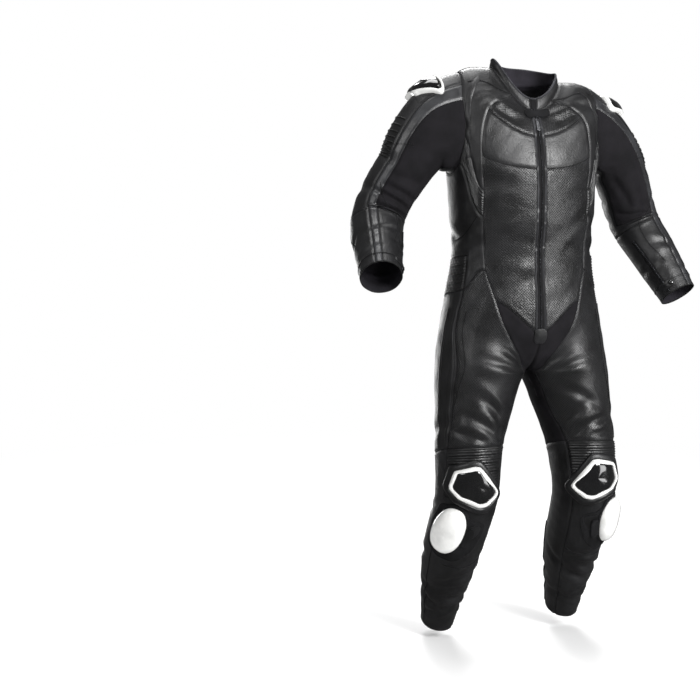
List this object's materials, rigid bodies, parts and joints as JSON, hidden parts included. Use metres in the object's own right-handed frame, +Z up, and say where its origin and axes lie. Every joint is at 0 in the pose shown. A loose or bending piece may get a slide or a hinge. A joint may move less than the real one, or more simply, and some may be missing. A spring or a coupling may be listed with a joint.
{
  "type": "motorcycle race suit",
  "caption": "One-piece leather race suit in its worn, hollow form, with aero hump, ribbed stretch panels, knee and shoulder cups and knee sliders.",
  "frame": {"origin": "middle of the neck base, where the wearer's neck and shoulders carry the suit", "axes": "+Z up, front faces -Y, the wearer's left is +X"},
  "size_m": [0.9136, 0.3215, 1.4662],
  "materials": {
    "leather": "semi-gloss grained cowhide",
    "perforated_leather": "perforated, semi-gloss",
    "ribbed_leather": "elasticated ribs",
    "stretch": "matte woven stretch",
    "lining": "matte knitted",
    "zip_tape": "woven tape with moulded teeth",
    "zip_metal": "gunmetal",
    "cup": "gloss",
    "slider": "gloss white"
  },
  "bodies": {
    "suit": {"arm_stretch_left": "stretch", "arm_stretch_right": "stretch", "back_centre": "leather", "back_side_left": "leather", "back_side_right": "leather", "back_stripe_left": "leather", "back_stripe_right": "leather", "belly_left": "perforated_leather", "belly_right": "perforated_leather", "blade_accordion_left": "ribbed_leather", "blade_accordion_right": "ribbed_leather", "calf_leather_left": "leather", "calf_leather_right": "leather", "calf_stretch_left": "stretch", "calf_stretch_right": "stretch", "chest_band_left": "leather", "chest_band_right": "leather", "chest_upper_left": "perforated_leather", "chest_upper_right": "perforated_leather", "collar": "leather", "collar_tab": "lining", "crotch_tab": "leather", "forearm_left": "leather", "forearm_right": "leather", "front_zip": "zip_tape", "groin_stretch_left": "stretch", "groin_stretch_right": "stretch", "hip_panel_left": "leather", "hip_panel_right": "leather", "hump": "leather", "knee_accordion_left": "ribbed_leather", "knee_accordion_right": "ribbed_leather", "knee_cup_left": "cup", "knee_cup_right": "cup", "knee_slider_left": "slider", "knee_slider_right": "slider", "lumbar_band": "ribbed_leather", "neck_lining": "lining", "rib_accordion_left": "ribbed_leather", "rib_accordion_right": "ribbed_leather", "seat_left": "leather", "seat_right": "leather", "shin_left": "leather", "shin_right": "leather", "shoulder_cup_left": "cup", "shoulder_cup_right": "cup", "side_panel_left": "leather", "side_panel_right": "leather", "sleeve_outer_left": "leather", "sleeve_outer_right": "leather", "sleeve_stripe_left": "leather", "sleeve_stripe_right": "leather", "thigh_front_left": "perforated_leather", "thigh_front_right": "perforated_leather", "yoke_left": "leather", "yoke_right": "leather"},
    "front_zip_pull_body": {"front_zip_pull": "zip_metal"},
    "ankle_pull_left_body": {"ankle_pull_left": "zip_metal"},
    "ankle_pull_right_body": {"ankle_pull_right": "zip_metal"}
  },
  "joints": [
    {"name": "front_zip_pull_swing", "type": "hinge", "parent": "suit", "child": "front_zip_pull_body", "pos_m": [0, -0.09234, -0.07087], "axis": [1, 0.0014, -0.0007], "range_deg": [-110, 0]},
    {"name": "ankle_pull_left_swing", "type": "hinge", "parent": "suit", "child": "ankle_pull_left_body", "pos_m": [0.13243, 0.13239, -1.3078], "axis": [-0.3788, -0.8775, -0.2942], "range_deg": [-110, 0]},
    {"name": "ankle_pull_right_swing", "type": "hinge", "parent": "suit", "child": "ankle_pull_right_body", "pos_m": [-0.13243, 0.13239, -1.3189], "axis": [-0.3794, 0.8787, 0.2896], "range_deg": [-110, 0]}
  ]
}
